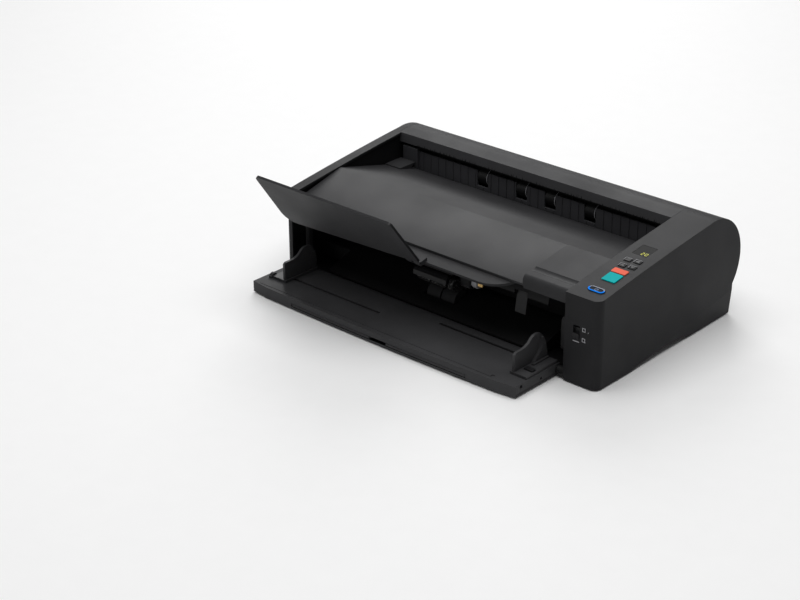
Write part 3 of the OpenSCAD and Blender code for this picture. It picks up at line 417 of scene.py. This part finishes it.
bm = bmesh.new()
place = panel_place(*POWER_KEY, 0.5)
dark = bmesh.new()
outer, inner = stadium(18.6, 8.0), stadium(15.8, 5.2)
for i in range(len(outer)):
    j = (i + 1) % len(outer)
    quad = [outer[i], outer[j], inner[j], inner[i]]
    plate(bm if outer[i][1] + outer[j][1] < 1.5 else dark, place, quad, 0.45)
add_piece("power_ring", bm, GLOW_BLUE, "power_button")
add_piece("power_ring_back", dark, DEEP_BLUE, "power_button")
bm = bmesh.new()
angles = [math.radians(120 + i * 300 / 16) for i in range(17)]
arc = [(2.0 * math.cos(a), 2.0 * math.sin(a)) for a in angles]
inner_arc = [(x * 0.74, y * 0.74) for x, y in arc]
for i in range(16):
    plate(bm, panel_place(*POWER_KEY, 0.51), [arc[i], arc[i + 1], inner_arc[i + 1], inner_arc[i]])
plate(bm, panel_place(*POWER_KEY, 0.51), [(-0.28, 0.3), (0.28, 0.3), (0.28, 2.2), (-0.28, 2.2)])
add_piece("power_mark", bm, FAINT_BLUE, "power_button")

# Marks on the four small keys: two arrows, a page and a bar
key_marks = {
    "option_button_1": ((187.6, -54.4), [[(-2.4, -1.4), (2.4, -1.4), (0.0, 1.8)]]),
    "option_button_2": ((198.6, -53.0), [[(-2.4, 1.4), (0.0, -1.8), (2.4, 1.4)]]),
    "option_button_3": ((185.8, -42.6), [
        [(-2.6, -1.8), (2.6, -1.8), (2.6, -0.7), (-2.6, -0.7)],
        [(-2.6, 0.4), (2.6, 0.4), (2.6, 1.5), (-2.6, 1.5)],
    ]),
    "option_button_4": ((196.8, -41.2), [[(-2.0, -1.8), (2.0, -1.8), (2.0, 1.8), (0.6, 1.8), (-2.0, 0.3)]]),
}
for key, (spot, shapes) in key_marks.items():
    bm = bmesh.new()
    for shape in shapes:
        plate(bm, panel_place(*spot, 0.61), shape)
    add_piece(key + "_mark", bm, MARK_AND_SHADE_BLACK, key)
    bm = bmesh.new()
    plate(bm, panel_place(*spot, 0.6), [(-3.9, -2.8), (-3.55, -2.8), (-3.55, 2.9), (-3.9, 2.9)])
    plate(bm, panel_place(*spot, 0.6), [(-3.5, 2.55), (3.6, 2.55), (3.6, 2.9), (-3.5, 2.9)])
    add_piece(key + "_line", bm, PALE_MARK_AND_HIGHLIGHT, key)

# Two lit digits in the display's lower right corner
SEGMENTS = {"0": "abcdef", "2": "abged"}
PLACES = {
    "a": (-1, 1.9, 1, 2.35), "g": (-1, -0.22, 1, 0.22), "d": (-1, -2.35, 1, -1.9),
    "f": (-1.35, 0.2, -0.9, 2.1), "b": (0.9, 0.2, 1.35, 2.1),
    "e": (-1.35, -2.1, -0.9, -0.2), "c": (0.9, -2.1, 1.35, -0.2),
}
bm = bmesh.new()
for k, digit in enumerate("20"):
    for seg in SEGMENTS[digit]:
        x0, y0, x1, y1 = PLACES[seg]
        ox, oy = 1.2 + 4.4 * k, -5.2
        corners = [(ox + x0, oy + y0), (ox + x1, oy + y0), (ox + x1, oy + y1), (ox + x0, oy + y1)]
        plate(bm, panel_place(*DISPLAY, -0.19), corners)
add_piece("display_digits", bm, GLOW_DIGIT, "body")

# Printed marks beside the mode lever
bm = bmesh.new()
for cz in (63.0, 52.0):
    outer = [(-1.9, -2.1), (1.9, -2.1), (1.9, 2.1), (-1.9, 2.1)]
    inner = [(x * 0.62, y * 0.66) for x, y in outer]
    for i in range(4):
        j = (i + 1) % 4
        plate(bm, front_place(194.4, cz, 0.01), [outer[i], outer[j], inner[j], inner[i]], 0.04)
plate(bm, front_place(195.4, 50.6, 0.01), [(-0.4, -0.9), (1.4, -0.9), (1.4, 0.2)], 0.04)
plate(bm, front_place(185.4, 48.2, 0.01), [(-3.8, -0.5), (3.8, -0.5), (3.8, 0.5), (-3.8, 0.5)], 0.04)
plate(bm, front_place(199.6, 61.5, 0.01), [(-0.8, -0.8), (0.9, 0.4), (0.3, 0.9)], 0.04)
add_piece("lever_marks", bm, PALE_MARK_AND_HIGHLIGHT, "body")

# ---- Antistatic brush: ragged clumps of bristles under the rear bar ----


def bristle(bm, x, w, front, rear, tip):
    """A three sided spike: its root spans 2 w in X and front to rear in Y, its point is at tip."""
    corners = ((x - w, front), (x + w, front), (x, rear))
    root = [bm.verts.new(at(*corner, BRISTLE_Z)) for corner in corners]
    end = bm.verts.new(at(*tip))
    for i in range(3):
        bm.faces.new((root[i], root[(i + 1) % 3], end))
    bm.faces.new(root)


bm = bmesh.new()
prism(bm, [(54.55, 106.4), (55.65, 106.4), (55.65, 109.7), (54.55, 109.7)], *BRUSH_ENDS)
x = -176.0
while x < 160.5:
    clump = random.uniform(0.0, 3.4)
    for _ in range(random.randint(6, 14)):
        tip = 101.3 + min(3.6, max(0.0, clump + random.uniform(-0.8, 0.8)))
        lean = random.uniform(-0.35, 0.35)
        w = random.uniform(0.16, 0.3)
        y = random.uniform(53.1, 55.2)
        bristle(bm, x, w, y - w / 2, y + w, (x + lean, y, tip))
        x += random.uniform(0.12, 0.28)
    x += random.choice((0.1, 0.2, 0.9))
# Short upward tips in front of the bar's lower edge
x = -175.0
while x < 160:
    w = random.uniform(0.5, 1.0)
    tip = 107.6 + random.choice((0.6, 1.2, 2.0, 2.8)) + random.uniform(0, 0.5)
    lean = random.uniform(-0.4, 0.4)
    y = BAR_FRONT_Y - random.uniform(0.15, 0.3)
    bristle(bm, x, w, y, y + 0.12, (x + lean, y + 0.1, tip))
    x += random.choice((1.6, 2.4, 3.2, 4.4))
prism(bm, [(51.8, 106.5), (52.05, 106.5), (52.05, 107.6), (51.8, 107.6)], *BRUSH_ENDS)
add_piece("brush_bristles", bm, BRISTLE, "body", replaces=("antistatic_brush",))

# ---- Pale painted highlight rings on the eject rollers' ends ----

bm = bmesh.new()
for x in EJECT_X:
    middle = Matrix.Translation(at(x + EJECT_HALF, EJECT[0], EJECT[1]))
    place = middle @ Matrix.Rotation(math.radians(90), 4, "Y")
    turn = [2 * math.pi * i / 96 for i in range(96)]
    outer = [(EJECT[2] * math.cos(a), EJECT[2] * math.sin(a)) for a in turn]
    inner = [(0.92 * u, 0.92 * v) for u, v in outer]
    ring_band(bm, place, outer, inner, -0.5, 0.06)
add_piece("eject_roller_painted_highlight", bm, PALE_MARK_AND_HIGHLIGHT, "eject_roller")

# ---- Feed throat: the upper unit's skirt, small parts beside the pickup arm, the left post ----

bm = bmesh.new()
skirt = [(-104, 76), (-107, 66.2), (-105.8, 64.6), (-104, 64.2), (-103.4, 65.4), (-105.2, 66.8), (-103, 77)]
prism(bm, skirt, 46, 95)
prism(bm, skirt, 111.5, 138)
prism(bm, [(-104, 76), (-106, 70.4), (-105, 69.6), (-103, 77)], 95, 111.5)
add_piece("upper_skirt", bm, INNER, "upper_unit")
bm = bmesh.new()
prism(bm, [(-88, 70), (-98, 72), (-98, 47), (-96, 45), (-88, 45)], 16.5, 30)
soften(bm, 0.8)
add_piece("feed_drive_cover", bm, SATIN, "upper_unit")
bm = bmesh.new()
prism(bm, [(-89, 58), (-96, 58), (-97, 51), (-94, 47), (-90, 47)], 30.4, 38)
soften(bm, 0.6)
add_piece("feed_sensor", bm, PALE_MARK_AND_HIGHLIGHT, "upper_unit")
bm = bmesh.new()
prism(bm, [(-90, 56), (-95, 56), (-96, 51.5), (-90, 50.5)], 38.4, 44.8)
soften(bm, 0.3)
add_piece("earth_spring", bm, BRONZE, "upper_unit")
bm = bmesh.new()
block(bm, -201.5, -196.5, -105, -97, 8.5, 57)
block(bm, -201.5, -194.5, -105, -96.5, 56, 59.5)
soften(bm, 1.2)
add_piece("left_guide_post", bm, FIN, "body")

# ---- Moulded edges on the CAD shapes ----


def right_cover_rule(p):
    """Full rounding along the outer side, little inside, and less in front and below."""
    if p.x > 205 and p.y < -112:
        return 0.5
    if p.x > 211 or p.x < 171.5:
        return 1.0 if p.x > 211 else 0.25
    if p.y < -122 and p.z > 90:
        return 0.7
    if p.z < 12:
        return 0.5
    return 0.12


def left_cover_rule(p):
    """Full rounding along the outer side only."""
    return 1.0 if p.x < -211 else 0.3


refine("right_side_cover", 2.2, right_cover_rule)
refine("left_side_cover", 2.2, left_cover_rule)
# The bar's front gets a lighter copy of its black as painted light, and the flap's right edge gets a
# painted black shadow line
bar = refine("rear_bar_cover", 0.5)
bar.data.materials.append(BAR_FRONT_PAINTED_LIGHT)
for poly in bar.data.polygons:
    if poly.normal.y < -0.6:
        poly.material_index = 1
refine("rear_round_cover", 0.3)
refine("rear_lower_cover", 0.3)
refine("eject_tray_cover", 0.5)
flap = refine("extension_flap", 0.7)
# The flap's right-facing edge is painted black: painted shade for the dark gap line beside it
flap.data.materials.append(MARK_AND_SHADE_BLACK)
for poly in flap.data.polygons:
    if poly.normal.x > 0.35:
        poly.material_index = 1
for node, width in (
    ("eject_extension", 0.6), ("feed_tray", 0.6), ("tray_extension", 0.4), ("guide_right", 0.45),
    ("guide_left", 0.45), ("guide_lock", 0.3), ("open_lever", 0.5), ("pickup_arm", 0.3),
    ("mode_lever", 0.3), ("power_button", 0.35), ("start_button", 0.35), ("stop_button", 0.35),
    ("option_button_1", 0.35), ("option_button_2", 0.35), ("option_button_3", 0.35),
    ("option_button_4", 0.35), ("left_inner_cover", 0.3), ("right_inner_cover", 0.5),
    ("rear_guide_panel", 0.2), ("lower_guide", 0.3),
):
    refine(node, width)

# ---- Camera, floor and light ----

# The camera was fitted to the photograph: its angles in degrees and its place in millimetres
cam_data = bpy.data.cameras.new("camera")
cam = bpy.data.objects.new("camera", cam_data)
bpy.context.scene.collection.objects.link(cam)
cam_data.sensor_width = 36
cam_data.lens = 84.52
cam_data.clip_start = 0.1
cam_data.clip_end = 20
yaw, pitch, roll = math.radians(42.2361), math.radians(25.7275), math.radians(-0.22826)
back = Vector((math.sin(yaw) * math.cos(pitch), -math.cos(yaw) * math.cos(pitch), math.sin(pitch)))
right = Vector((0, 0, 1)).cross(back).normalized()
up = back.cross(right)
side = right * math.cos(roll) + up * math.sin(roll)
top = up * math.cos(roll) - right * math.sin(roll)
rotation = Matrix((side, top, back)).transposed().to_4x4()
cam.matrix_world = Matrix.Translation(at(1149.288, -1437.859, 874.573)) @ rotation
bpy.context.scene.camera = cam

floor_mesh = bpy.data.meshes.new("floor")
bm = bmesh.new()
bmesh.ops.create_grid(bm, x_segments=2, y_segments=2, size=6)
bm.to_mesh(floor_mesh)
bm.free()
floor = bpy.data.objects.new("floor", floor_mesh)
bpy.context.scene.collection.objects.link(floor)
floor_mesh.materials.append(material("floor_pale", (0.93, 0.93, 0.93), 0.7, mottle=0.004))

bpy.context.scene.view_settings.view_transform = "Standard"
world = bpy.data.worlds.new("studio")
bpy.context.scene.world = world
world.use_nodes = True
world.node_tree.nodes["Background"].inputs["Color"].default_value = (1, 1, 1, 1)
world.node_tree.nodes["Background"].inputs["Strength"].default_value = 0.16


def softbox(name, place, target, size, power):
    data = bpy.data.lights.new(name, "AREA")
    data.energy = power
    data.size = size
    obj = bpy.data.objects.new(name, data)
    bpy.context.scene.collection.objects.link(obj)
    obj.location = place
    obj.rotation_euler = (Vector(target) - Vector(place)).to_track_quat("-Z", "Y").to_euler()


softbox("overhead", (0.1, -0.2, 2.4), (0.1, -0.2, 0), 2.6, 53)
softbox("back", (-1.5, 1.7, 1.5), (0, 0, 0.05), 1.5, 26)
softbox("side", (2.0, 1.2, 0.7), (0.1, 0, 0.06), 1.0, 0.5)
softbox("front", (-1.4, -2.2, 0.7), (0, -0.1, 0.06), 1.0, 3.6)
